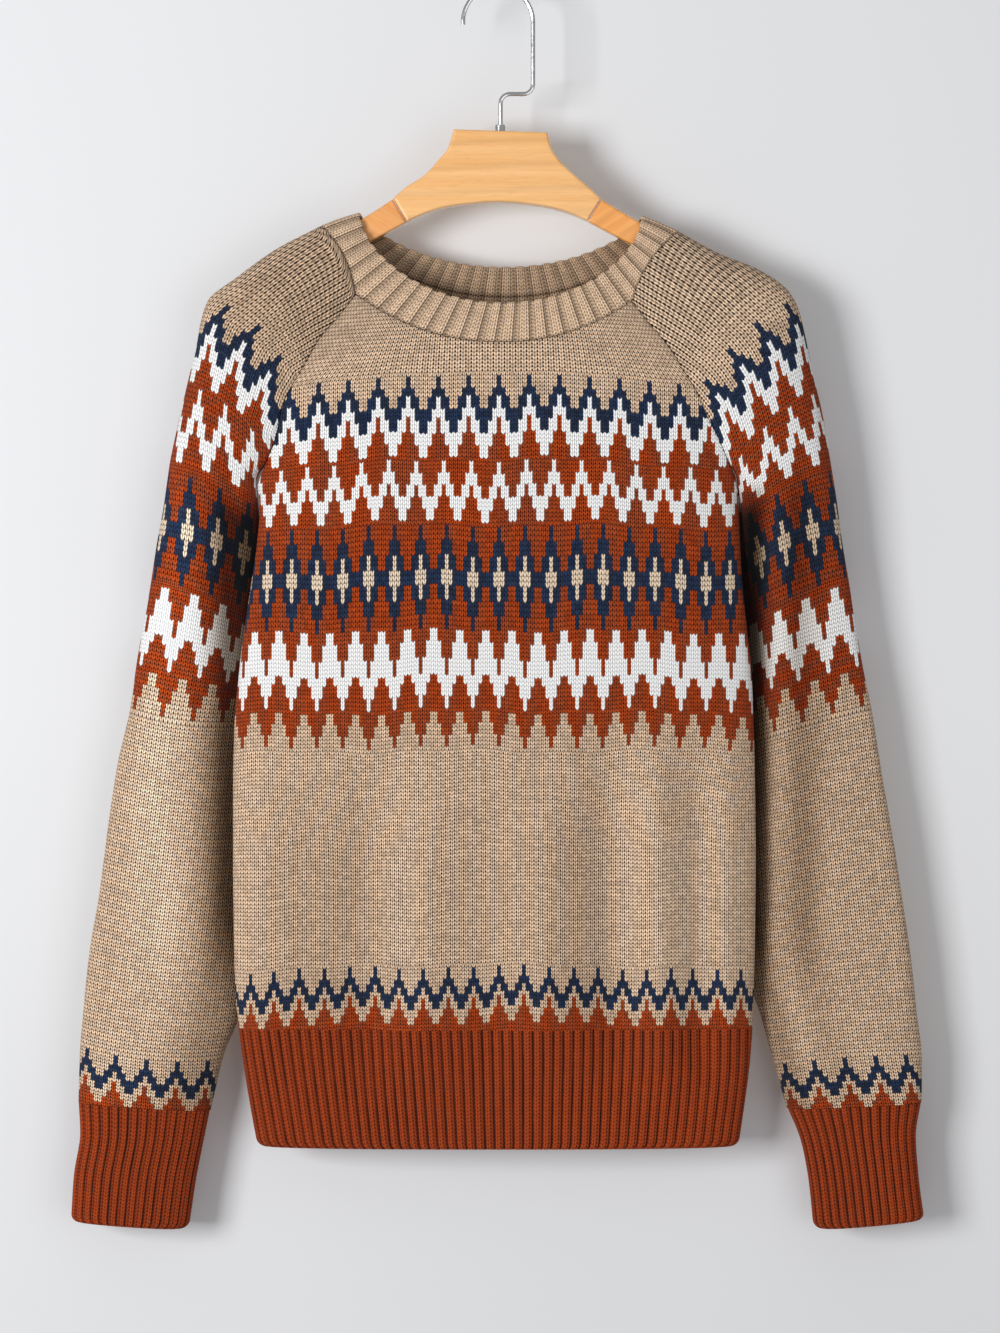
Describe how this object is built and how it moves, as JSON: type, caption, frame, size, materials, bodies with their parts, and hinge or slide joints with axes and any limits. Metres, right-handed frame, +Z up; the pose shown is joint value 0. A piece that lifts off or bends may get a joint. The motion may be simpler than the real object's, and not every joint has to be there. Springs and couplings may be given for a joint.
{
  "type": "knitted raglan sweater on a wooden hanger",
  "caption": "Crew-neck raglan sweater with zigzag and diamond colour bands, ribbed neck, hem and cuffs, hanging on a flat wooden hanger with a wire hook.",
  "frame": {"origin": "inside of the hook's crown, where a rail or peg carries the hanger", "axes": "+Z up, the front of the sweater faces -Y, +X to the viewer's right"},
  "size_m": [0.5985, 0.0624, 0.8721],
  "materials": {
    "mixed_knit": "stocking-stitch jersey in tan with rust, white and navy bands",
    "tan_rib": "tan two-by-two rib",
    "rust_rib": "rust one-by-one rib",
    "pale_wood": "clear-varnished honey-coloured wood",
    "bright_steel": "bright plated wire"
  },
  "bodies": {
    "root": {"front_panel": "mixed_knit", "back_panel": "mixed_knit", "sleeve_left": "mixed_knit", "sleeve_right": "mixed_knit", "collar_rib": "tan_rib", "hem_rib": "rust_rib", "cuff_left": "rust_rib", "cuff_right": "rust_rib", "hanger_block": "pale_wood", "hanger_arm_left": "pale_wood", "hanger_arm_right": "pale_wood", "hook_wire": "bright_steel", "hook_ferrule": "bright_steel"}
  },
  "joints": []
}
